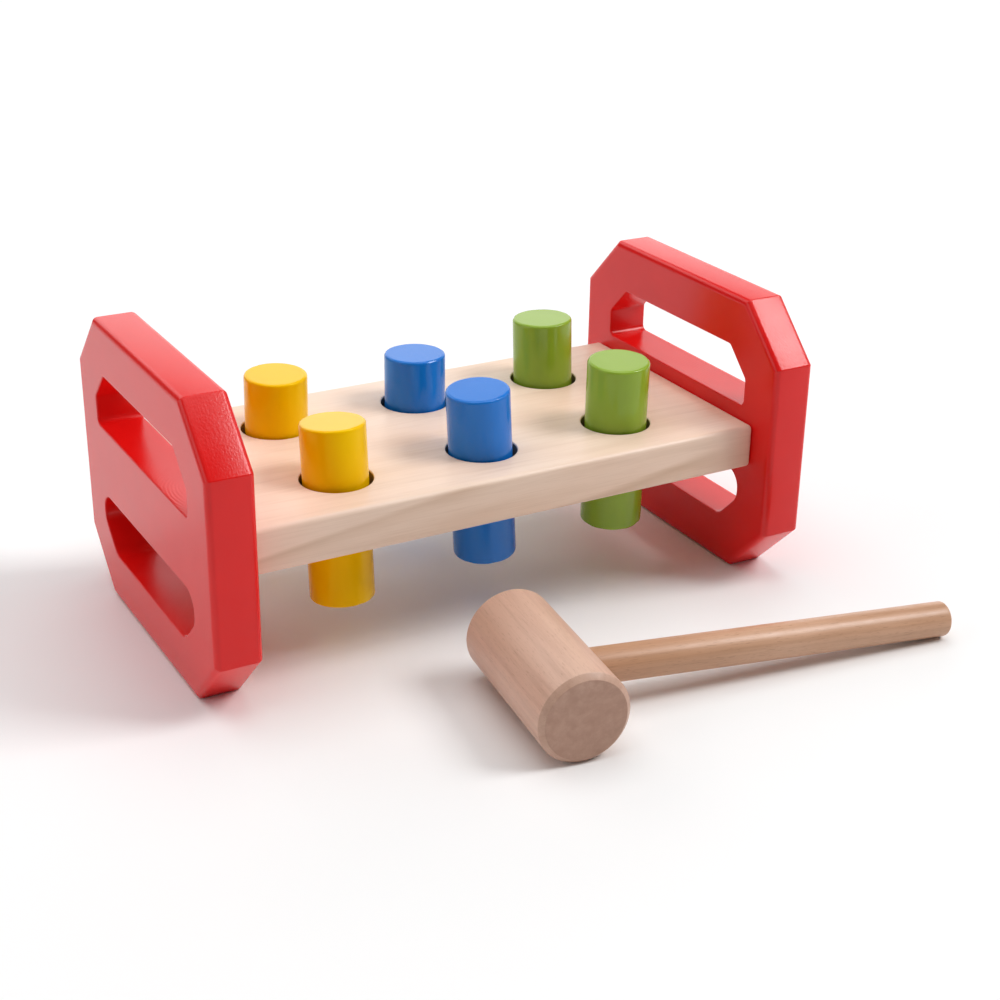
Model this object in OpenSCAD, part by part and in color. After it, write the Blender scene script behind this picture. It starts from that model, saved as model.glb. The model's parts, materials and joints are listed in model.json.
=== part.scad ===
// Toy pounding bench: a wooden board with six loose pegs, held between two end frames,
// and a wooden mallet that lies in front of it.
// Millimetres, +Z up. X runs along the board and -Y is the front.
// The origin is on the table, midway between the end frames and midway front to back.

/* [Bench] */
// Length over both end frames
bench_length = 254; // [230:1:310]
// Depth of the end frames, front to back
bench_depth = 140; // [130:1:180]
// Height of the end frames
bench_height = 117; // [100:1:150]

/* [End frames] */
// Thickness of an end frame
frame_thickness = 18; // [16:0.5:24]
// Size of the straight cut across each outer corner
corner_cut = 22.5; // [10:0.5:28]
// Radius along the edges of both faces
frame_edge_radius = 2.5; // [1:0.1:4]
// Width of the post in front of and behind the slots
post_width = 20; // [15:0.1:28]
// Height of the rail above the upper slot and below the lower one
rail_height = 20.8; // [12:0.1:24]
// Height of solid wood between the board and each slot
slot_to_board = 5.6; // [3:0.1:8]
// Size of the cut across the two outer corners of a slot
slot_corner_cut = 11.5; // [4:0.1:14]
// Radius in the corners of the upper slot
upper_slot_radius = 2.5; // [1:0.1:6]
// Radius in the corners of the lower slot
lower_slot_radius = 7.5; // [2:0.1:8]

/* [Board] */
// Thickness of the board
board_thickness = 18; // [15:0.5:24]
// How far the board's long edges stand back from the edges of the end frames
board_setback = 12; // [6:0.5:16]
// Radius along the edges of the board
board_edge_radius = 2; // [0.5:0.1:3]
// From the end of the board to the centres of the nearest holes
hole_end_margin = 47.4; // [42:0.1:56]
// From the long edge of the board to the centres of the nearest holes
hole_side_margin = 29.3; // [24:0.1:34]
// Small chamfer round the mouth of each hole
hole_chamfer = 0.5; // [0.2:0.1:1]

/* [Pegs] */
// Diameter of a peg
peg_diameter = 25; // [20:0.5:30]
// Length of a peg
peg_length = 70; // [60:1:84]
// Radius round the rim of a peg
peg_rim_radius = 1.1; // [0.5:0.1:3]
// Open gap between a peg and the wall of its hole
hole_gap = 1.5; // [1:0.1:2.5]
// How far the front pegs stand out of the board: yellow, blue, green
front_rise = [21.9, 25.3, 26.8]; // [15:0.1:40]
// How far the back pegs stand out of the board: yellow, blue, green
back_rise = [22.5, 20.9, 26.8]; // [15:0.1:40]
// Sideways lean of the front pegs in degrees: yellow, blue, green
front_lean = [-0.3, -4, -1]; // [-4:0.1:4]
// Backward lean of the front pegs in degrees: yellow, blue, green
front_tip = [4, -1.4, -2.6]; // [-4:0.1:4]
// Sideways lean of the back pegs in degrees: yellow, blue, green
back_lean = [0.2, 0.3, -1.3]; // [-4:0.1:4]
// Backward lean of the back pegs in degrees: yellow, blue, green
back_tip = [-2, 0.3, 1.2]; // [-4:0.1:4]

/* [Grip rings] */
// Height of the rubber ring in the middle of each hole
ring_height = 5; // [3:0.5:7]
// Depth of the groove that holds the ring
groove_depth = 2.5; // [1.5:0.1:4]
// Running clearance between a ring and its peg
ring_clearance = 0.05; // [0.02:0.01:0.1]

/* [Dowels] */
// Diameter of the dowels that join the board to the end frames
dowel_diameter = 8; // [6:0.5:10]
// Length of a dowel
dowel_length = 30; // [24:1:36]
// Depth of the dowel holes in the end frames
dowel_frame_depth = 12; // [9:0.5:14]
// From the long edge of the board to the outer dowels
dowel_side_margin = 22; // [14:0.5:28]
// Room left for glue at the inner end of each dowel hole
glue_room = 1; // [0.5:0.1:2]
// Chamfer at both ends of a dowel
dowel_chamfer = 1; // [0.5:0.1:1.5]

/* [Mallet] */
// Diameter of the mallet's head
head_diameter = 34.8; // [32:0.1:42]
// Length of the mallet's head
head_length = 69.5; // [60:0.5:84]
// Chamfer round both rims of the head
head_chamfer = 2; // [1:0.1:3]
// Diameter of the handle
handle_diameter = 13.8; // [12:0.1:17]
// Length of the handle, with the part inside the head
handle_length = 180; // [150:1:216]
// Depth of the handle's socket in the head
socket_depth = 26.8; // [20:0.1:28]
// Radius round the rim of the handle's end
handle_rim_radius = 1.2; // [0.5:0.1:3]
// Centre of the head along the bench
mallet_x = -21; // [-60:1:40]
// Gap on the table between the bench and the mallet
mallet_gap = 10.8; // [5:0.1:40]
// Turn of the mallet on the table, in degrees
mallet_turn = -6.9; // [-15:0.1:15]

/* [Hidden] */
$fn = 96;

// Sides, rows and columns
LEFT = -1;
RIGHT = 1;
FRONT = -1;
MIDDLE = 0;
BACK = 1;
YELLOW = -1;
BLUE = 0;
GREEN = 1;

// Colours
red_paint = [0.80, 0.09, 0.09];
yellow_paint = [0.96, 0.74, 0.08];
blue_paint = [0.12, 0.42, 0.80];
green_paint = [0.50, 0.70, 0.25];
pale_wood = [0.91, 0.80, 0.69];
warm_wood = [0.83, 0.66, 0.51];
black_rubber = [0.12, 0.12, 0.12];

// Board
board_length = bench_length - 2 * frame_thickness;
board_width = bench_depth - 2 * board_setback;
mid_height = bench_height / 2;
column_pitch = board_length / 2 - hole_end_margin;
row_offset = board_width / 2 - hole_side_margin;
hole_radius = peg_diameter / 2 + hole_gap;
groove_radius = hole_radius + groove_depth;
dowel_offset = board_width / 2 - dowel_side_margin;
dowel_radius = dowel_diameter / 2;
dowel_board_depth = dowel_length - dowel_frame_depth;

// Slots of the end frames, measured from the middle of the height
slot_half_width = bench_depth / 2 - post_width;
slot_low = board_thickness / 2 + slot_to_board;
slot_high = bench_height / 2 - rail_height;
slot_height = slot_high - slot_low;
slot_cut = min(slot_corner_cut, 0.6 * slot_height);
slot_radius_limit = (slot_height - slot_cut) / 1.5;

// Width of an end frame across its corner cuts, to 0.01 mm so that round edges and flats meet
across_corners = round(100 * (bench_depth + bench_height - 2 * corner_cut) / sqrt(2)) / 100;

// Mallet: the handle droops until the rim of its end touches the table
head_radius = head_diameter / 2;
handle_radius = handle_diameter / 2;
handle_reach = handle_length - socket_depth + head_radius;
droop_long = handle_reach - handle_rim_radius;
droop_short = handle_radius - handle_rim_radius;
handle_droop = asin((head_radius - handle_rim_radius) / norm([droop_long, droop_short]))
    - atan(droop_short / droop_long);
mallet_y = -(bench_depth / 2 + mallet_gap + head_length / 2);
overshoot = 1;

// Rectangle centred on the origin with four round corners
module rounded_rectangle(width, height, radius) {
    square([width - 2 * radius, height], center = true);
    square([width, height - 2 * radius], center = true);
    for (x = [-1, 1]) {
        for (y = [-1, 1]) {
            translate([x * (width / 2 - radius), y * (height / 2 - radius)])
                circle(radius);
        }
    }
}

// Solid round bar that stands on the origin, with both rims rounded
module round_bar(radius, length, rim) {
    rotate_extrude() {
        square([radius - rim, length]);
        translate([0, rim])
            square([radius, length - 2 * rim]);
        for (z = [rim, length - rim]) {
            translate([radius - rim, z])
                intersection() {
                    circle(rim);
                    translate([0, -rim])
                        square([rim, 2 * rim]);
                }
        }
    }
}

// Solid bar that stands on the origin, with both rims chamfered
module chamfered_bar(radius, length, chamfer) {
    cylinder(h = chamfer, r1 = radius - chamfer, r2 = radius);
    translate([0, 0, chamfer])
        cylinder(h = length - 2 * chamfer, r = radius);
    translate([0, 0, length - chamfer])
        cylinder(h = chamfer, r1 = radius, r2 = radius - chamfer);
}

// Convex outline with a round fillet at each corner
function unit(v) = v / norm(v);
function to_previous(p, i) = unit(p[(i + len(p) - 1) % len(p)] - p[i]);
function to_next(p, i) = unit(p[(i + 1) % len(p)] - p[i]);
function half_angle(p, i) = acos(to_previous(p, i) * to_next(p, i)) / 2;
function fillet_reach(p, i, radius) = radius / tan(half_angle(p, i));
function fillet_centre(p, i, radius) =
    p[i] + unit(to_previous(p, i) + to_next(p, i)) * radius / sin(half_angle(p, i));

module filleted_outline(p, radius) {
    polygon([for (i = [0:len(p) - 1], way = [to_previous(p, i), to_next(p, i)])
        p[i] + way * fillet_reach(p, i, radius)]);
    for (i = [0:len(p) - 1]) {
        translate(fillet_centre(p, i, radius))
            circle(radius);
    }
}

// Bar across the end frame's plane; the frame is what four such bars have in common
module frame_bar(across, turn) {
    long = 2 * (bench_depth + bench_height);
    rotate([turn, 0, 0])
        linear_extrude(long, center = true)
            rounded_rectangle(frame_thickness, across, frame_edge_radius);
}

module frame_slot(radius) {
    corners = [
        [-slot_half_width, slot_low],
        [slot_half_width, slot_low],
        [slot_half_width, slot_high - slot_cut],
        [slot_half_width - slot_cut, slot_high],
        [slot_cut - slot_half_width, slot_high],
        [-slot_half_width, slot_high - slot_cut]
    ];
    rotate([90, 0, 90])
        linear_extrude(frame_thickness + 2 * overshoot, center = true)
            filleted_outline(corners, min(radius, slot_radius_limit));
}

module end_frame(side) {
    translate([side * (bench_length - frame_thickness) / 2, 0, mid_height]) {
        difference() {
            intersection() {
                frame_bar(bench_depth, 0);
                frame_bar(bench_height, 90);
                frame_bar(across_corners, 45);
                frame_bar(across_corners, -45);
            }
            frame_slot(upper_slot_radius);
            mirror([0, 0, 1])
                frame_slot(lower_slot_radius);
            for (row = [FRONT, MIDDLE, BACK]) {
                translate([-side * frame_thickness / 2, row * dowel_offset, 0])
                    rotate([0, side * 90, 0])
                        dowel_hole(dowel_frame_depth);
            }
        }
    }
}

// Blind hole along +Z from the origin, open below
module dowel_hole(depth) {
    translate([0, 0, -overshoot])
        cylinder(h = depth + overshoot, r = dowel_radius);
}

module board_block() {
    intersection() {
        rotate([90, 0, 90])
            linear_extrude(board_length, center = true)
                rounded_rectangle(board_width, board_thickness, board_edge_radius);
        rotate([90, 0, 0])
            linear_extrude(board_width, center = true)
                rounded_rectangle(board_length, board_thickness, board_edge_radius);
        linear_extrude(board_thickness, center = true)
            rounded_rectangle(board_length, board_width, board_edge_radius);
    }
}

// Through hole with a chamfer at both mouths and a groove for the grip ring
module peg_hole() {
    cylinder(h = board_thickness + 2 * overshoot, r = hole_radius, center = true);
    cylinder(h = ring_height, r = groove_radius, center = true);
    for (face = [0, 1]) {
        mirror([0, 0, face])
            translate([0, 0, board_thickness / 2 - hole_chamfer])
                cylinder(h = 2 * hole_chamfer, r1 = hole_radius, r2 = hole_radius + 2 * hole_chamfer);
    }
}

module at_hole(column, row) {
    translate([column * column_pitch, row * row_offset, mid_height])
        children();
}

// Turns a piece about the centre of its hole to the lean of its peg
module leaned(column, row) {
    lean = row == FRONT ? front_lean[column + 1] : back_lean[column + 1];
    tip = row == FRONT ? front_tip[column + 1] : back_tip[column + 1];
    rotate([-tip, lean, 0])
        children();
}

module peg(column, row) {
    rise = row == FRONT ? front_rise[column + 1] : back_rise[column + 1];
    at_hole(column, row)
        leaned(column, row)
            translate([0, 0, board_thickness / 2 + rise - peg_length])
                round_bar(peg_diameter / 2, peg_length, peg_rim_radius);
}

// Rubber ring that fills the groove; its bore follows the lean of the peg
module grip_ring(column, row) {
    at_hole(column, row) {
        difference() {
            cylinder(h = ring_height, r = groove_radius, center = true);
            leaned(column, row)
                cylinder(h = 3 * ring_height, r = peg_diameter / 2 + ring_clearance, center = true);
        }
    }
}

// Dowel across the joint between the board and an end frame
module dowel(side, row) {
    translate([side * (board_length / 2 - dowel_board_depth), row * dowel_offset, mid_height])
        rotate([0, side * 90, 0])
            chamfered_bar(dowel_radius, dowel_length, dowel_chamfer);
}

// Places the mallet: the centre of the head at the origin, the head along Y
module mallet_pose() {
    translate([mallet_x, mallet_y, head_radius])
        rotate([0, 0, mallet_turn])
            children();
}

// Places a piece that stands on the bottom of the handle's socket, along +Z
module at_socket() {
    rotate([0, 90 + handle_droop, 0])
        translate([0, 0, head_radius - socket_depth])
            children();
}

module bench_board() {
    color(pale_wood)
        difference() {
            translate([0, 0, mid_height])
                board_block();
            for (column = [YELLOW, BLUE, GREEN]) {
                for (row = [FRONT, BACK]) {
                    at_hole(column, row)
                        peg_hole();
                }
            }
            for (side = [LEFT, RIGHT]) {
                for (row = [FRONT, MIDDLE, BACK]) {
                    translate([side * board_length / 2, row * dowel_offset, mid_height])
                        rotate([0, -side * 90, 0])
                            dowel_hole(dowel_board_depth + glue_room);
                }
            }
        }
}

module left_end_frame() {
    color(red_paint)
        end_frame(LEFT);
}

module right_end_frame() {
    color(red_paint)
        end_frame(RIGHT);
}

module yellow_front_peg() {
    color(yellow_paint)
        peg(YELLOW, FRONT);
}

module blue_front_peg() {
    color(blue_paint)
        peg(BLUE, FRONT);
}

module green_front_peg() {
    color(green_paint)
        peg(GREEN, FRONT);
}

module yellow_back_peg() {
    color(yellow_paint)
        peg(YELLOW, BACK);
}

module blue_back_peg() {
    color(blue_paint)
        peg(BLUE, BACK);
}

module green_back_peg() {
    color(green_paint)
        peg(GREEN, BACK);
}

module yellow_front_grip_ring() {
    color(black_rubber)
        grip_ring(YELLOW, FRONT);
}

module blue_front_grip_ring() {
    color(black_rubber)
        grip_ring(BLUE, FRONT);
}

module green_front_grip_ring() {
    color(black_rubber)
        grip_ring(GREEN, FRONT);
}

module yellow_back_grip_ring() {
    color(black_rubber)
        grip_ring(YELLOW, BACK);
}

module blue_back_grip_ring() {
    color(black_rubber)
        grip_ring(BLUE, BACK);
}

module green_back_grip_ring() {
    color(black_rubber)
        grip_ring(GREEN, BACK);
}

module left_front_dowel() {
    color(warm_wood)
        dowel(LEFT, FRONT);
}

module left_middle_dowel() {
    color(warm_wood)
        dowel(LEFT, MIDDLE);
}

module left_back_dowel() {
    color(warm_wood)
        dowel(LEFT, BACK);
}

module right_front_dowel() {
    color(warm_wood)
        dowel(RIGHT, FRONT);
}

module right_middle_dowel() {
    color(warm_wood)
        dowel(RIGHT, MIDDLE);
}

module right_back_dowel() {
    color(warm_wood)
        dowel(RIGHT, BACK);
}

module mallet_head() {
    color(warm_wood)
        mallet_pose()
            difference() {
                translate([0, head_length / 2, 0])
                    rotate([90, 0, 0])
                        chamfered_bar(head_radius, head_length, head_chamfer);
                at_socket()
                    cylinder(h = 2 * head_radius, r = handle_radius);
            }
}

module mallet_handle() {
    color(warm_wood)
        mallet_pose()
            at_socket()
                round_bar(handle_radius, handle_length, handle_rim_radius);
}

bench_board();
left_end_frame();
right_end_frame();
yellow_front_peg();
blue_front_peg();
green_front_peg();
yellow_back_peg();
blue_back_peg();
green_back_peg();
yellow_front_grip_ring();
blue_front_grip_ring();
green_front_grip_ring();
yellow_back_grip_ring();
blue_back_grip_ring();
green_back_grip_ring();
left_front_dowel();
left_middle_dowel();
left_back_dowel();
right_front_dowel();
right_middle_dowel();
right_back_dowel();
mallet_head();
mallet_handle();
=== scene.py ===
"""Looks of a toy pounding bench: painted end frames and pegs, a bare board and a mallet.

Metres, +Z up, X along the board and -Y to the front, as in the CAD frame.
"""

import json
import math

import bpy
from mathutils import Matrix, Vector, noise
from mathutils.geometry import tessellate_polygon


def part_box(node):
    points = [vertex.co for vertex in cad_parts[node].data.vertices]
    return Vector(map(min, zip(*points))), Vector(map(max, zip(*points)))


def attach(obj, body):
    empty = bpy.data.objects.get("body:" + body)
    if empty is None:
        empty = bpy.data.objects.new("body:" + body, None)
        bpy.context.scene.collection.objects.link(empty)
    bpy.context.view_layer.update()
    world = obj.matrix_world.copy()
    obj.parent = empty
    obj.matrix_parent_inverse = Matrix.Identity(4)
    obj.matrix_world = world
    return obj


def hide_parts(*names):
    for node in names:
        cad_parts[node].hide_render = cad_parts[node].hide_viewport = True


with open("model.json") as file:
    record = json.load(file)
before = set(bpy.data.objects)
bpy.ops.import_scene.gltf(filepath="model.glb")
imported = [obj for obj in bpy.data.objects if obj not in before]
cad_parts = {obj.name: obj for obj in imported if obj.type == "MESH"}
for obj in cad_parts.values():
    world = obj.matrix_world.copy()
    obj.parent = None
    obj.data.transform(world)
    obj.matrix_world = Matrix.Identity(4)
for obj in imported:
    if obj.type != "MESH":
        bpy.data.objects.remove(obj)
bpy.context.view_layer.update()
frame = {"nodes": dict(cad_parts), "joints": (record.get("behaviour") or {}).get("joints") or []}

MM = 0.001
COLOURS = ("yellow", "blue", "green")
ROWS = ("front", "back")
SIDES = ("left", "right")

# Shape of the pieces
SUPPORT = 0.3 * MM  # width of the flat strip beside a rounded edge
FRAME_EDGE = 2.5 * MM
FRAME_CORNER_CUT = 22.5 * MM
FRAME_CORNER_RADIUS = 0.8 * MM
LEAST_CORNER_RADIUS = 0.15 * MM
POST_WIDTH = 20 * MM
RAIL_HEIGHT = 20.8 * MM
SLOT_TO_BOARD = 5.6 * MM
SLOT_CUT = 11.5 * MM
SLOT_EDGE = 0.5 * MM
UPPER_SLOT_RADIUS = 2.5 * MM
LOWER_SLOT_RADIUS = 7.5 * MM
BOARD_EDGE = 2 * MM
HOLE_RADIUS = 14 * MM
HOLE_EDGE = 0.5 * MM
PEG_RADIUS = 12.5 * MM
PEG_LENGTH = 70 * MM
PEG_RIM = 1.1 * MM
HEAD_RADIUS = 17.4 * MM
HEAD_LENGTH = 69.5 * MM
HEAD_CHAMFER = 2 * MM
HEAD_SOFTENING = 0.3 * MM
HANDLE_RADIUS = 6.9 * MM
HANDLE_LENGTH = 180 * MM
HANDLE_RIM = 1.2 * MM
SOCKET_GAP = 0.06 * MM
SHARP_ANGLE = math.radians(35)  # edges sharper than this aren't shaded smooth

# Marks in the materials
ALONG, UP = 0, 2  # axes of a piece that its grain can run along
LEVEL = (0, 0, 0)
RIPPLE = 1.4 * MM  # spacing of the ripples that end grain raises in paint
RIPPLE_WAVER = 4 * MM
# painted shade: the dark brown that the walls of the peg holes are darkened towards, standing in for the shade
# inside them
BORE_SHADE_COLOUR = (0.16, 0.09, 0.05)
RING_STRETCH = 0.25  # draws the growth rings out along the grain
WAVE_RATE = 20  # radians that Blender's wave texture turns in one unit at scale 1
DENT_NOISE = 260  # how closely the dents lie
DENT_LEVEL = 0.12  # noise above this makes a dent

# Camera, found from the edges in the photograph
CAMERA_PLACE = (-0.3055, -0.5809, 0.3306)
CAMERA_AZIMUTH, CAMERA_ELEVATION, CAMERA_ROLL = -30.02, 24.41, 1.07  # degrees
CAMERA_LENS = 63.41  # mm, on a 36 mm sensor
CAMERA_SHIFT = (-0.0107, 0.0035)

LIGHT_DISTANCE = 4.0
LIGHT_AIM_HEIGHT = 0.05
LIGHTS = (  # name, direction from the object, width, height, power
    ("overhead", (0.0, 0.10, 1.0), 4.0, 4.0, 88),
    ("key", (0.60, -0.32, 0.74), 1.5, 1.5, 84),
    ("back", (0.40, 1.0, 0.30), 5.2, 2.0, 40),
    ("back_high", (-0.32, 0.74, 0.62), 4.0, 1.4, 25),
    ("left", (-1.0, 0.15, 0.5), 2.8, 2.4, 26),
    ("right", (1.0, -0.1, 0.45), 2.8, 2.4, 16),
)
WORLD_STRENGTH = 0.12
FLOOR_HALF_WIDTH = 12.0


# ---------------------------------------------------------------- outlines and meshes

def fillet(before, corner, after, radius, steps):
    """Points of the round that replaces a corner between two neighbours."""
    a = (before - corner).normalized()
    b = (after - corner).normalized()
    half = a.angle(b) / 2
    centre = corner + (a + b).normalized() * (radius / math.sin(half))
    start = (corner + a * (radius / math.tan(half)) - centre).normalized()
    end = (corner + b * (radius / math.tan(half)) - centre).normalized()
    sweep = start.angle(end)
    points = []
    for i in range(steps + 1):
        part = i / steps
        along = (start * math.sin((1 - part) * sweep) + end * math.sin(part * sweep)) / math.sin(sweep)
        points.append(centre + along * radius)
    return points


def rounded_outline(corners, radius, steps):
    """A closed convex outline with every corner rounded."""
    count = len(corners)
    points = []
    for i, corner in enumerate(corners):
        points += fillet(corners[i - 1], corner, corners[(i + 1) % count], radius, steps)
    return points


def inset(corners, distance):
    """A closed convex outline with every side moved inwards, or outwards where distance is negative."""
    count = len(corners)
    moved = []
    for i, corner in enumerate(corners):
        a = (corners[i - 1] - corner).normalized()
        b = (corners[(i + 1) % count] - corner).normalized()
        moved.append(corner + (a + b) * (distance / math.sin(a.angle(b))))
    return moved


def circle(centre, radius, segments):
    """A closed round outline."""
    turns = [2 * math.pi * i / segments for i in range(segments)]
    return [centre + Vector((math.cos(t), math.sin(t))) * radius for t in turns]


def edge_profile(radius, thickness, steps=6):
    """(inset, height, wear) across the two rounded edges of a plate, from face to face."""
    lower = [(radius + SUPPORT, 0, 0)]
    for i in range(steps + 1):
        turn = math.pi / 2 * i / steps
        lower.append((radius * (1 - math.sin(turn)), radius * (1 - math.cos(turn)), math.sin(2 * turn)))
    upper = [(g, thickness - h, w) for g, h, w in reversed(lower)]
    return lower + upper


def mesh_object(name, points, faces, wear_and_bore_shade):
    """A smooth-shaded object. Its per-point value is 1 on rubbed edges, 0 on faces and -1 inside a hole, where it
    marks the walls that bare wood paints darker as shade.
    """
    mesh = bpy.data.meshes.new(name)
    mesh.from_pydata(points, [], faces)
    mesh.validate()
    mesh.shade_smooth()
    mesh.set_sharp_from_angle(angle=SHARP_ANGLE)
    rub_and_shade = mesh.attributes.new("wear_and_bore_shade", "FLOAT", "POINT")
    rub_and_shade.data.foreach_set("value", wear_and_bore_shade)
    piece = bpy.data.objects.new(name, mesh)
    bpy.context.scene.collection.objects.link(piece)
    return piece


def plate(name, outer, holes):
    """A flat plate with holes. outer and each hole are rings from one face to the other.

    A ring is (points, value): the value is 1 on rubbed edges, 0 on faces and -1 on hole walls, which get painted
    shade. The plate's faces are filled between the first rings and between the last.
    """
    points, wear_and_bore_shade, faces = [], [], []
    first, last = [], []
    for number, rings in enumerate([outer, *holes]):
        base = len(points)
        count = len(rings[0][0])
        for ring, rub_and_shade in rings:
            points += ring
            wear_and_bore_shade += [rub_and_shade] * len(ring)
        for k in range(len(rings) - 1):
            low = base + k * count
            for i in range(count):
                j = (i + 1) % count
                quad = (low + i, low + j, low + count + j, low + count + i)
                faces.append(quad if number == 0 else quad[::-1])
        first.append(range(base, base + count))
        last.append(range(base + (len(rings) - 1) * count, base + len(rings) * count))
    for loops, flip in ((first, True), (last, False)):
        order = [i for loop in loops for i in loop]
        normal = (points[loops[0][1]] - points[loops[0][0]]).cross(points[loops[0][2]] - points[loops[0][1]])
        for triangle in tessellate_polygon([[points[i] for i in loop] for loop in loops]):
            a, b, c = (order[i] for i in triangle)
            upright = (points[b] - points[a]).cross(points[c] - points[a]).dot(normal) > 0
            faces.append((a, c, b) if upright == flip else (a, b, c))
    return mesh_object(name, points, faces, wear_and_bore_shade)


def turned(name, profile, segments, shape=None):
    """A solid of revolution about Z. profile is (radius, height, wear) from axis to axis.

    shape, if given, moves each point a little, for dents and unevenness.
    """
    points = [Vector((0, 0, profile[0][1]))]
    wear_and_bore_shade = [0.0]
    faces = []
    rings = profile[1:-1]
    for radius, height, rub_and_shade in rings:
        for i in range(segments):
            turn = 2 * math.pi * i / segments
            points.append(Vector((radius * math.cos(turn), radius * math.sin(turn), height)))
            wear_and_bore_shade.append(rub_and_shade)
    points.append(Vector((0, 0, profile[-1][1])))
    wear_and_bore_shade.append(0.0)
    top = len(points) - 1
    last = 1 + (len(rings) - 1) * segments
    for i in range(segments):
        j = (i + 1) % segments
        faces.append((0, 1 + j, 1 + i))
        faces.append((top, last + i, last + j))
        for k in range(len(rings) - 1):
            low = 1 + k * segments
            faces.append((low + i, low + j, low + segments + j, low + segments + i))
    if shape:
        points = [shape(point, rub_and_shade) for point, rub_and_shade in zip(points, wear_and_bore_shade)]
    return mesh_object(name, points, faces, wear_and_bore_shade)


def bar_profile(radius, length, corners, softening, steps):
    """Half outline of a turned bar about its middle; corners are (in from the wall, in from the end)."""
    half = length / 2
    path = [Vector((0, -half))]
    path += [Vector((radius - side, end - half)) for side, end in corners]
    path += [Vector((radius - side, half - end)) for side, end in reversed(corners)]
    path += [Vector((0, half))]
    profile = [(0, -half, 0)]
    for i in range(1, len(path) - 1):
        arc = fillet(path[i - 1], path[i], path[i + 1], softening, steps)
        if i == 1:
            profile.append((arc[0].x - SUPPORT, arc[0].y, 0))
        profile += [(p.x, p.y, math.sin(math.pi * k / steps)) for k, p in enumerate(arc)]
        if i == len(path) - 2:
            profile.append((arc[-1].x - SUPPORT, arc[-1].y, 0))
    profile.append((0, half, 0))
    return profile


# ---------------------------------------------------------------- material nodes

def add(tree, kind, inputs=None, **settings):
    """A new node; inputs are sockets to link or values to set."""
    node = tree.nodes.new(kind)
    for key, value in settings.items():
        setattr(node, key, value)
    for key, value in (inputs or {}).items():
        if isinstance(value, bpy.types.NodeSocket):
            tree.links.new(value, node.inputs[key])
        else:
            node.inputs[key].default_value = value
    return node


def new_material(name, **shader_values):
    """A material with a Principled shader whose constants are set on its own sockets."""
    material = bpy.data.materials.new(name)
    material.use_nodes = True
    tree = material.node_tree
    shader = tree.nodes["Principled BSDF"]
    for key, value in shader_values.items():
        shader.inputs[key.replace("_", " ")].default_value = value
    return material, tree, shader


def local_point(tree, scale, turn=(0, 0, 0), place=(0, 0, 0)):
    """The piece's own coordinates, scaled along each axis."""
    own = add(tree, "ShaderNodeTexCoord")
    mapping = add(tree, "ShaderNodeMapping", {"Vector": own.outputs["Object"], "Scale": scale,
                                              "Rotation": turn, "Location": place})
    return mapping.outputs["Vector"]


def cloud(tree, vector, scale, detail=3.0, roughness=0.5):
    """Smooth noise from 0 to 1."""
    node = add(tree, "ShaderNodeTexNoise", {"Vector": vector, "Scale": scale, "Detail": detail,
                                            "Roughness": roughness})
    return node.outputs["Fac"]


def remap(tree, value, low, high, to_low=0.0, to_high=1.0):
    """value moved from one range to another, and kept within it."""
    node = add(tree, "ShaderNodeMapRange", {"Value": value, "From Min": low, "From Max": high,
                                            "To Min": to_low, "To Max": to_high})
    return node.outputs["Result"]


def maths(tree, operation, a, b):
    """One arithmetic step."""
    node = add(tree, "ShaderNodeMath", operation=operation)
    for socket, value in zip(node.inputs, (a, b)):
        if isinstance(value, bpy.types.NodeSocket):
            tree.links.new(value, socket)
        else:
            socket.default_value = value
    return node.outputs["Value"]


def blend_colours(tree, share, a, b):
    """Colour a, going to b as share goes from 0 to 1."""
    node = add(tree, "ShaderNodeMix", data_type="RGBA")
    for name, value in (("Factor_Float", share), ("A_Color", a), ("B_Color", b)):
        socket = next(s for s in node.inputs if s.identifier == name)
        if isinstance(value, bpy.types.NodeSocket):
            tree.links.new(value, socket)
        else:
            socket.default_value = value if name == "Factor_Float" else (*value, 1)
    return next(s for s in node.outputs if s.identifier == "Result_Color")


def bump(tree, shader, heights):
    """Adds up (height, depth in metres) pairs as surface relief."""
    normal = None
    for height, depth in heights:
        node = add(tree, "ShaderNodeBump", {"Height": height, "Distance": depth, "Strength": 1.0})
        if normal is not None:
            tree.links.new(normal, node.inputs["Normal"])
        normal = node.outputs["Normal"]
    tree.links.new(normal, shader.inputs["Normal"])


def wear_and_bore_shade_of(tree):
    """1 on rubbed edges, 0 on faces and -1 inside a hole, where bare wood is painted darker as shade."""
    return add(tree, "ShaderNodeAttribute", attribute_name="wear_and_bore_shade").outputs["Fac"]


def end_grain(tree, axis):
    """1 where the surface cuts across the grain, 0 along it."""
    own = add(tree, "ShaderNodeTexCoord")
    parts = add(tree, "ShaderNodeSeparateXYZ", {"Vector": own.outputs["Normal"]})
    facing = maths(tree, "ABSOLUTE", parts.outputs["XYZ"[axis]], 0.0)
    return remap(tree, facing, 0.45, 0.95)


def grain_scale(axis, along, across=1.0):
    """Texture scale that draws long marks along one axis."""
    return tuple(along if i == axis else across for i in range(3))


def distance_from(tree, axis, centre):
    """Distance of a point from a line along one axis, with a little waver."""
    flat = local_point(tree, grain_scale(axis, 0.0), place=[-c for c in centre])
    waver = cloud(tree, local_point(tree, (1, 1, 1)), 60.0, 1.0, 0.5)
    length = add(tree, "ShaderNodeVectorMath", {0: flat}, operation="LENGTH").outputs["Value"]
    return maths(tree, "ADD", length, maths(tree, "MULTIPLY", waver, RIPPLE_WAVER))


# ---------------------------------------------------------------- materials

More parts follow.
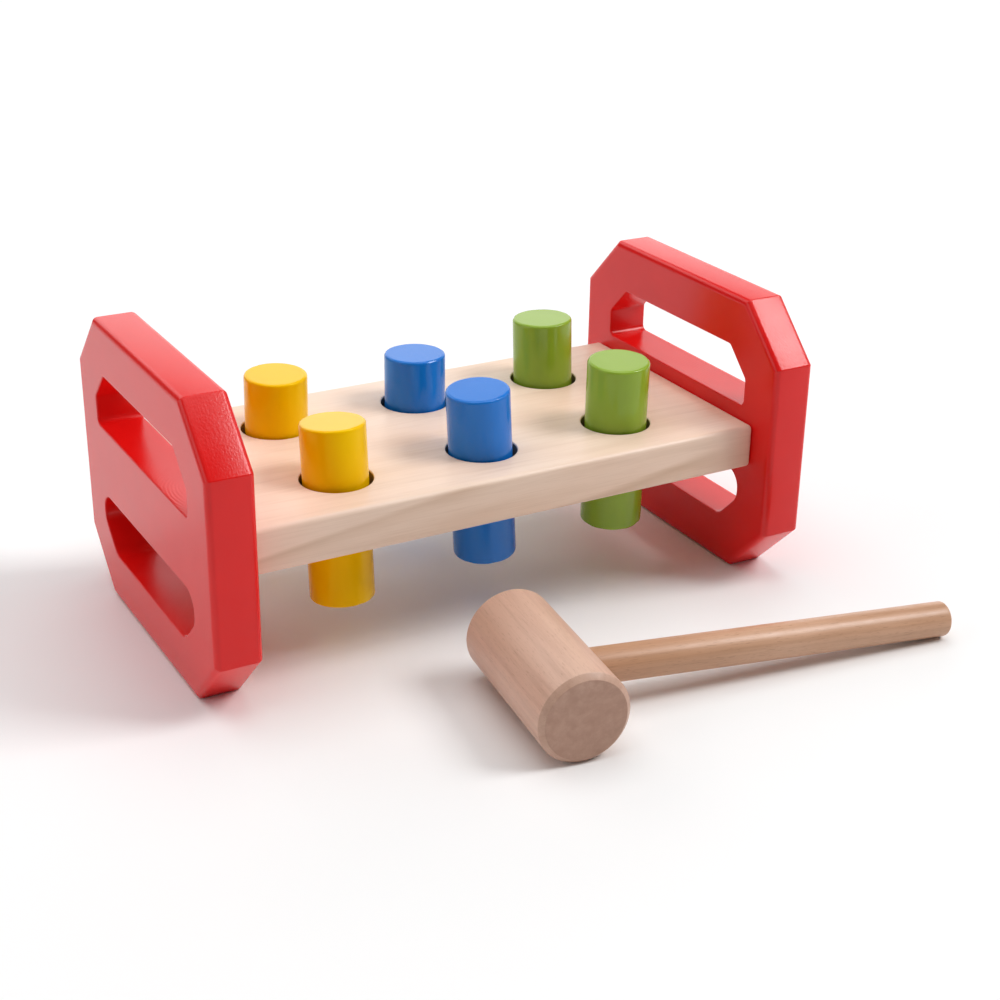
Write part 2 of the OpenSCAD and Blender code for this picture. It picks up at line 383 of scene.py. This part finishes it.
def growth_rings(tree, axis, centre, spacing, tilt):
    """Growth rings about a far axis: rises slowly from 0 across each ring, then drops at once."""
    scale = 2 * math.pi / WAVE_RATE / spacing
    stretched = local_point(tree, grain_scale(axis, RING_STRETCH), turn=tilt, place=centre)
    node = add(tree, "ShaderNodeTexWave", {"Vector": stretched, "Scale": scale, "Distortion": 1.5,
                                           "Detail": 2.0, "Detail Scale": 0.35, "Detail Roughness": 0.5},
               wave_type="RINGS", rings_direction="XYZ"[axis], wave_profile="SAW")
    return node.outputs["Fac"]


def paint(name, colour, deep, axis, gloss, shine=(1.0, 1.0, 1.0), ripple_centre=None):
    """Gloss paint on wood: faint clouds, deeper along rubbed edges, pores and ripples over end grain.

    axis is the way the wood's grain runs under the paint.
    """
    material, tree, shader = new_material(name, IOR=1.42, Specular_Tint=(*shine, 1.0))
    even = local_point(tree, (1, 1, 1))
    ends = end_grain(tree, axis)
    pores = cloud(tree, local_point(tree, grain_scale(axis, 0.16)), 1300, 2, 0.5)
    clouds = cloud(tree, even, 45, 2, 0.5)
    peel = cloud(tree, even, 350, 1, 0.4)
    surface = blend_colours(tree, remap(tree, clouds, 0.30, 0.75, 0.0, 0.6), colour, deep)
    edge = maths(tree, "MULTIPLY", wear_and_bore_shade_of(tree), remap(tree, clouds, 0.40, 0.65, 0.05, 0.35))
    surface = blend_colours(tree, edge, surface, deep)
    tree.links.new(surface, shader.inputs["Base Color"])
    roughness = remap(tree, cloud(tree, even, 120, 3, 0.5), 0.3, 0.7, gloss - 0.02, gloss + 0.02)
    tree.links.new(roughness, shader.inputs["Roughness"])
    sloped = maths(tree, "MULTIPLY", ends, maths(tree, "SUBTRACT", 1.15, ends))
    open_pores = maths(tree, "MULTIPLY", pores, remap(tree, sloped, 0, 0.35, 0.08, 1.0))
    layers = [(open_pores, 0.07 * MM), (peel, 0.005 * MM)]
    if ripple_centre:
        turns = maths(tree, "MULTIPLY", distance_from(tree, axis, ripple_centre), 2 * math.pi / RIPPLE)
        inside = remap(tree, wear_and_bore_shade_of(tree), 0.0, -1.0, 0.1, 1.0)
        strength = maths(tree, "MULTIPLY", maths(tree, "POWER", ends, 8), inside)
        layers.append((maths(tree, "MULTIPLY", maths(tree, "SINE", turns, 0), strength), 0.013 * MM))
    bump(tree, shader, layers)
    return material


def wood(name, colours, axis, rings, roughness, late=(0.25, 2.5), plain_axis=None, streak=0.35, fleck=0.0,
         end_share=0.0):
    """Bare sanded wood: growth rings, fibres, streaks, short flecks, mottled end grain, hole walls painted dark as
    shade and a satin finish.

    colours are pale, mid and dark; axis is the way the grain runs; rings are the spacing, centre and tilt
    of the growth rings; late is the strength and sharpness of their dark lines, which are faint on faces
    square to plain_axis.
    """
    pale, mid, dark = colours
    spacing, centre, tilt = rings
    late_share, late_power = late
    material, tree, shader = new_material(name, IOR=1.42, Coat_Weight=0.08, Coat_Roughness=0.25)
    even = local_point(tree, (1, 1, 1))
    age = growth_rings(tree, axis, centre, spacing, tilt)
    line = maths(tree, "MULTIPLY", maths(tree, "POWER", age, late_power), remap(tree, age, 1.0, 0.9, 0.0, 1.0))
    fibres = cloud(tree, local_point(tree, grain_scale(axis, 0.02)), 2600, 4, 0.65)
    streaks = cloud(tree, local_point(tree, grain_scale(axis, 0.05)), 260, 4, 0.6)
    clouds = cloud(tree, local_point(tree, grain_scale(axis, 0.3)), 35, 3, 0.5)
    patches = cloud(tree, local_point(tree, grain_scale(axis, 0.25)), 60, 2, 0.5)
    colour = blend_colours(tree, remap(tree, clouds, 0.35, 0.68), pale, mid)
    line = maths(tree, "MULTIPLY", line, remap(tree, patches, 0.4, 0.65, 0.3, 1.0))
    if plain_axis is not None:
        line = maths(tree, "MULTIPLY", line, remap(tree, end_grain(tree, plain_axis), 0, 1, 1.0, 0.25))
    colour = blend_colours(tree, maths(tree, "MULTIPLY", line, late_share), colour, dark)
    colour = blend_colours(tree, remap(tree, streaks, 0.48, 0.75, 0.0, streak), colour, dark)
    colour = blend_colours(tree, remap(tree, fibres, 0.50, 0.78, 0.0, 0.22), colour, dark)
    if fleck:
        marks = cloud(tree, local_point(tree, grain_scale(axis, 0.10)), 3000, 1, 0.4)
        colour = blend_colours(tree, remap(tree, marks, 0.62, 0.72, 0.0, fleck), colour, dark)
    colour = blend_colours(tree, maths(tree, "MULTIPLY", wear_and_bore_shade_of(tree), 0.25), colour, pale)
    mottle = remap(tree, cloud(tree, even, 260, 3, 0.6), 0.35, 0.65, 0.75, 1.1)
    ends = maths(tree, "MULTIPLY", end_grain(tree, axis), mottle)
    colour = blend_colours(tree, maths(tree, "MULTIPLY", ends, end_share), colour, dark)
    # painted shade: the walls and grip-ring grooves of the holes, marked -1, are darkened towards a dark brown
    colour = blend_colours(tree, remap(tree, wear_and_bore_shade_of(tree), 0.0, -1.0, 0.0, 0.85), colour, BORE_SHADE_COLOUR)
    tree.links.new(colour, shader.inputs["Base Color"])
    rough = remap(tree, cloud(tree, even, 120, 4, 0.6), 0.3, 0.7, roughness - 0.06, roughness + 0.08)
    tree.links.new(rough, shader.inputs["Roughness"])
    bump(tree, shader, [(line, 0.010 * MM), (streaks, 0.015 * MM), (fibres, 0.010 * MM)])
    return material


def rubber(name):
    """Matt black rubber with a fine moulded grain and a little dust."""
    material, tree, shader = new_material(name, IOR=1.5)
    even = local_point(tree, (1, 1, 1))
    dust = remap(tree, cloud(tree, even, 300, 4, 0.6), 0.45, 0.75, 0.0, 0.5)
    colour = blend_colours(tree, dust, (0.012, 0.012, 0.013), (0.06, 0.055, 0.05))
    tree.links.new(colour, shader.inputs["Base Color"])
    tree.links.new(remap(tree, dust, 0.0, 0.5, 0.55, 0.8), shader.inputs["Roughness"])
    bump(tree, shader, [(cloud(tree, even, 2500, 2, 0.5), 0.015 * MM)])
    return material


def floor_material():
    """Pale studio floor with the faintest mottling."""
    material, tree, shader = new_material("studio_floor")
    even = local_point(tree, (1, 1, 1))
    clouds = cloud(tree, even, 6, 3, 0.5)
    tree.links.new(blend_colours(tree, clouds, (0.94, 0.94, 0.94), (0.91, 0.91, 0.91)), shader.inputs["Base Color"])
    tree.links.new(remap(tree, clouds, 0.3, 0.7, 0.55, 0.65), shader.inputs["Roughness"])
    return material


# ---------------------------------------------------------------- pieces

def finish_piece(piece, material, body, node):
    """Gives a piece its material, lets it ride on its body, and lets it stand for a CAD node."""
    piece.data.materials.append(material)
    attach(piece, body)
    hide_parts(node)


def stand(piece, centre, direction):
    """Places a turned piece: its middle at centre and its axis along direction."""
    piece.matrix_world = Matrix.Translation(centre) @ direction.to_track_quat("Z", "Y").to_matrix().to_4x4()
    bpy.context.view_layer.update()


def middle(node):
    """Centre of a CAD node's box."""
    low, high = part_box(node)
    return (low + high) / 2


def frame_outline(low, high):
    """Octagon of an end frame, in Y and Z."""
    cut = FRAME_CORNER_CUT
    y, z0, z1 = high.y, low.z, high.z
    right = [Vector((y - cut, z0)), Vector((y, z0 + cut)), Vector((y, z1 - cut)), Vector((y - cut, z1))]
    return right + [Vector((-p.x, p.y)) for p in reversed(right)]


def slot_outline(low, high, board_half, way):
    """Slot above (way 1) or below (way -1) the board, in Y and Z, anticlockwise."""
    middle_z = (low.z + high.z) / 2
    near = board_half + SLOT_TO_BOARD
    far = (high.z - low.z) / 2 - RAIL_HEIGHT
    y = high.y - POST_WIDTH
    half = [Vector((y, near)), Vector((y, far - SLOT_CUT)), Vector((y - SLOT_CUT, far))]
    whole = half + [Vector((-p.x, p.y)) for p in reversed(half)]
    placed = [Vector((p.x, middle_z + way * p.y)) for p in whole]
    return placed if way > 0 else placed[::-1]


def end_frame(side, material):
    """Red frame with an octagonal outline and two slots."""
    node = side + "_end_frame"
    low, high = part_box(node)
    board_low, board_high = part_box("bench_board")
    thickness = high.x - low.x
    octagon = frame_outline(low, high)
    outer = []
    for g, h, rub_and_shade in edge_profile(FRAME_EDGE, thickness):
        radius = max(FRAME_CORNER_RADIUS - g, LEAST_CORNER_RADIUS)
        ring = rounded_outline(inset(octagon, g), radius, 4)
        outer.append(([Vector((low.x + h, p.x, p.y)) for p in ring], rub_and_shade))
    holes = []
    for way, slot_radius in ((1, UPPER_SLOT_RADIUS), (-1, LOWER_SLOT_RADIUS)):
        corners = slot_outline(low, high, (board_high.z - board_low.z) / 2, way)
        mouths = edge_profile(SLOT_EDGE, thickness, 4)
        half = len(mouths) // 2
        wall = [(0, SLOT_EDGE + SUPPORT, -1), (0, thickness - SLOT_EDGE - SUPPORT, -1)]
        rings = []
        for g, h, rub_and_shade in mouths[:half] + wall + mouths[half:]:
            ring = rounded_outline(inset(corners, -g), slot_radius + g, 10)
            rings.append(([Vector((low.x + h, p.x, p.y)) for p in ring], rub_and_shade))
        holes.append(rings)
    piece = plate(side + "_end_frame_painted", outer, holes)
    finish_piece(piece, material, "bench", node)


def hole_rings(centre, low, high, ring_low, ring_high):
    """Wall of a peg hole: rounded mouths and the groove of the grip ring; the bore and groove are marked -1 for
    painted shade.
    """
    thickness = high.z - low.z
    groove_radius = (ring_high.x - ring_low.x) / 2
    mouths = edge_profile(HOLE_EDGE, thickness, 4)
    half = len(mouths) // 2
    depth, start, end = HOLE_RADIUS - groove_radius, ring_low.z - low.z, ring_high.z - low.z
    # the bore and groove are marked -1, where the wood is painted darker as shade
    bore = [(0, HOLE_EDGE + SUPPORT, -1), (0, start, -1), (depth, start, -1),
            (depth, end, -1), (0, end, -1), (0, thickness - HOLE_EDGE - SUPPORT, -1)]
    rings = []
    for g, h, rub_and_shade in mouths[:half] + bore + mouths[half:]:
        radius = HOLE_RADIUS + g if g >= 0 else HOLE_RADIUS - g
        rings.append(([p.to_3d() + Vector((0, 0, low.z + h)) for p in circle(centre, radius, 120)], rub_and_shade))
    return rings


def board(material):
    """Bare board with rounded edges and six holes."""
    low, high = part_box("bench_board")
    x, y = high.x, high.y
    corners = [Vector((-x, -y)), Vector((x, -y)), Vector((x, y)), Vector((-x, y))]
    outer = []
    for g, h, rub_and_shade in edge_profile(BOARD_EDGE, high.z - low.z):
        radius = max(BOARD_EDGE - g, LEAST_CORNER_RADIUS)
        ring = rounded_outline(inset(corners, g), radius, 6)
        outer.append(([p.to_3d() + Vector((0, 0, low.z + h)) for p in ring], rub_and_shade))
    holes = []
    for colour in COLOURS:
        for row in ROWS:
            ring = f"{colour}_{row}_grip_ring"
            holes.append(hole_rings(middle(ring).to_2d(), low, high, *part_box(ring)))
    finish_piece(plate("bench_board_wood", outer, holes), material, "bench", "bench_board")


def dented(seed):
    """Slight unevenness of a turned piece, with small dents along its worn rims."""
    def shape(point, rub_and_shade):
        place = point * DENT_NOISE + Vector((seed * 7.3, seed * 3.1, seed * 5.7))
        dent = max(0.0, noise.noise(place) - DENT_LEVEL)
        inward = (0.02 + 1.1 * rub_and_shade * dent) * 0.4 * MM
        flat = Vector((point.x, point.y, 0))
        reach = flat.length
        if reach < 1e-6:
            return point
        shrink = inward / reach
        return Vector((point.x * (1 - shrink), point.y * (1 - shrink), point.z * (1 - rub_and_shade * dent * 0.004)))
    return shape


def peg(colour, row, seed, material):
    """Painted peg with soft rims, along the axis of its slide."""
    node = f"{colour}_{row}_peg"
    joint = next(j for j in frame["joints"] if j["child"] == node)
    profile = bar_profile(PEG_RADIUS, PEG_LENGTH, [(0, 0)], PEG_RIM, 6)
    piece = turned(node + "_painted", profile, 160, dented(seed))
    stand(piece, middle(node), Vector(joint["axis"]))
    finish_piece(piece, material, node, node)


def cut_socket(head, centre, direction):
    """Cuts the round socket of the handle into the head."""
    profile = bar_profile(HANDLE_RADIUS + SOCKET_GAP, HANDLE_LENGTH, [(0, 0)], HANDLE_RIM, 4)
    tool = turned("socket_tool", profile, 96)
    stand(tool, centre, direction)
    cut = head.modifiers.new("socket", "BOOLEAN")
    cut.object, cut.operation, cut.solver = tool, "DIFFERENCE", "EXACT"
    graph = bpy.context.evaluated_depsgraph_get()
    mesh = bpy.data.meshes.new_from_object(head.evaluated_get(graph))
    head.modifiers.clear()
    head.data = mesh
    mesh.set_sharp_from_angle(angle=SHARP_ANGLE)
    bpy.data.objects.remove(tool)


def mallet(head_material, handle_material):
    """Turned head with chamfered faces, and a plain round handle in its socket."""
    head_centre, handle_centre = middle("mallet_head"), middle("mallet_handle")
    handle_axis = (handle_centre - head_centre).normalized()
    head_axis = Vector((0, 0, 1)).cross(handle_axis).normalized()
    chamfer = [(HEAD_CHAMFER, 0), (0, HEAD_CHAMFER)]
    head = turned("mallet_head_wood", bar_profile(HEAD_RADIUS, HEAD_LENGTH, chamfer, HEAD_SOFTENING, 4), 192)
    stand(head, head_centre, head_axis)
    cut_socket(head, handle_centre, handle_axis)
    finish_piece(head, head_material, "mallet", "mallet_head")
    handle = turned("mallet_handle_wood", bar_profile(HANDLE_RADIUS, HANDLE_LENGTH, [(0, 0)], HANDLE_RIM, 6), 96)
    stand(handle, handle_centre, handle_axis)
    finish_piece(handle, handle_material, "mallet", "mallet_handle")


def hidden_pieces(rubber_material, dowel_material):
    """Grip rings and dowels keep their CAD shape and get a better material."""
    for node, piece in frame["nodes"].items():
        if node.endswith("_grip_ring"):
            piece.data.materials.clear()
            piece.data.materials.append(rubber_material)
        if node.endswith("_dowel"):
            piece.data.materials.clear()
            piece.data.materials.append(dowel_material)


# ---------------------------------------------------------------- studio

def floor():
    """Large pale floor."""
    half = FLOOR_HALF_WIDTH
    corners = [(-half, -half, 0), (half, -half, 0), (half, half, 0), (-half, half, 0)]
    mesh = bpy.data.meshes.new("floor")
    mesh.from_pydata(corners, [], [(0, 1, 2, 3)])
    mesh.materials.append(floor_material())
    plane = bpy.data.objects.new("floor", mesh)
    bpy.context.scene.collection.objects.link(plane)


def soft_light(name, direction, width, height, power):
    """Area light that faces the object from a direction and doesn't show in the picture."""
    data = bpy.data.lights.new(name, "AREA")
    data.shape = "RECTANGLE"
    data.size = width
    data.size_y = height
    data.energy = power
    light = bpy.data.objects.new(name, data)
    towards = Vector(direction).normalized()
    light.location = Vector((0, 0, LIGHT_AIM_HEIGHT)) + towards * LIGHT_DISTANCE
    light.rotation_mode = "QUATERNION"
    light.rotation_quaternion = towards.to_track_quat("Z", "Y")
    light.visible_camera = False
    bpy.context.scene.collection.objects.link(light)


def studio():
    """Dim, even surroundings and soft lights, strongest from above and from the right front."""
    world = bpy.data.worlds.new("studio")
    world.use_nodes = True
    world.node_tree.nodes["Background"].inputs["Color"].default_value = (1, 1, 1, 1)
    world.node_tree.nodes["Background"].inputs["Strength"].default_value = WORLD_STRENGTH
    bpy.context.scene.world = world
    for light in LIGHTS:
        soft_light(*light)
    bpy.context.scene.view_settings.view_transform = "Standard"


def camera():
    """Camera at the photograph's place, angle and lens."""
    azimuth, elevation = math.radians(CAMERA_AZIMUTH), math.radians(CAMERA_ELEVATION)
    roll = math.radians(CAMERA_ROLL)
    data = bpy.data.cameras.new("camera")
    data.sensor_width = 36
    data.lens = CAMERA_LENS
    data.shift_x, data.shift_y = CAMERA_SHIFT
    back = Vector((math.sin(azimuth) * math.cos(elevation), -math.cos(azimuth) * math.cos(elevation),
                   math.sin(elevation)))
    right = Vector((0, 0, 1)).cross(back).normalized()
    up = back.cross(right)
    tilted_right = right * math.cos(roll) + up * math.sin(roll)
    tilted_up = up * math.cos(roll) - right * math.sin(roll)
    viewer = bpy.data.objects.new("camera", data)
    turn = Matrix((tilted_right, tilted_up, back)).transposed()
    viewer.matrix_world = Matrix.Translation(CAMERA_PLACE) @ turn.to_4x4()
    bpy.context.scene.collection.objects.link(viewer)
    bpy.context.scene.camera = viewer


def paints():
    """Red for the end frames, and one paint for each colour of peg."""
    red = paint("red_gloss_paint", (0.82, 0.0074, 0.0064), (0.74, 0.006, 0.0055), UP, 0.23,
                ripple_centre=(-0.10, -0.03, 0.0))
    yellow = paint("yellow_gloss_paint", (0.97, 0.58, 0.0005), (0.95, 0.50, 0.0005), UP, 0.16, (1.0, 0.95, 0.1))
    blue = paint("blue_gloss_paint", (0.008, 0.195, 0.69), (0.007, 0.165, 0.60), UP, 0.16)
    green = paint("green_gloss_paint", (0.29, 0.45, 0.033), (0.245, 0.39, 0.026), UP, 0.16)
    return red, {"yellow": yellow, "blue": blue, "green": green}


def woods():
    """Board, mallet head, mallet handle and dowels."""
    pale = wood("pale_board_wood", ((0.93, 0.725, 0.585), (0.89, 0.655, 0.505), (0.56, 0.34, 0.20)), ALONG,
                (9.05 * MM, (0.0, -0.025, -0.008), (0, math.radians(28.4), 0)), 0.37, late=(0.85, 5.0),
                plain_axis=UP, streak=0.2)
    head = wood("mallet_head_beech", ((0.72, 0.475, 0.36), (0.63, 0.39, 0.285), (0.40, 0.22, 0.155)), UP,
                (3.0 * MM, (0.03, 0.05, 0.0), LEVEL), 0.40, streak=0.45, fleck=0.35, end_share=0.78)
    handle = wood("mallet_handle_beech", ((0.66, 0.39, 0.255), (0.55, 0.30, 0.175), (0.38, 0.20, 0.11)), UP,
                  (2.5 * MM, (0.02, 0.04, 0.0), LEVEL), 0.34, streak=0.5, fleck=0.5)
    dowel = wood("dowel_hardwood", ((0.62, 0.44, 0.28), (0.52, 0.35, 0.21), (0.40, 0.25, 0.14)), ALONG,
                 (2.0 * MM, (0.0, 0.02, 0.0), LEVEL), 0.55, fleck=0.3)
    return pale, head, handle, dowel


def build():
    """Every piece, its material, and the studio."""
    red, peg_paints = paints()
    pale, head, handle, dowel = woods()
    board(pale)
    for side in SIDES:
        end_frame(side, red)
    for column, colour in enumerate(COLOURS):
        for place, row in enumerate(ROWS):
            peg(colour, row, 2 * column + place + 1, peg_paints[colour])
    mallet(head, handle)
    hidden_pieces(rubber("grip_ring_rubber"), dowel)
    floor()
    studio()
    camera()


build()
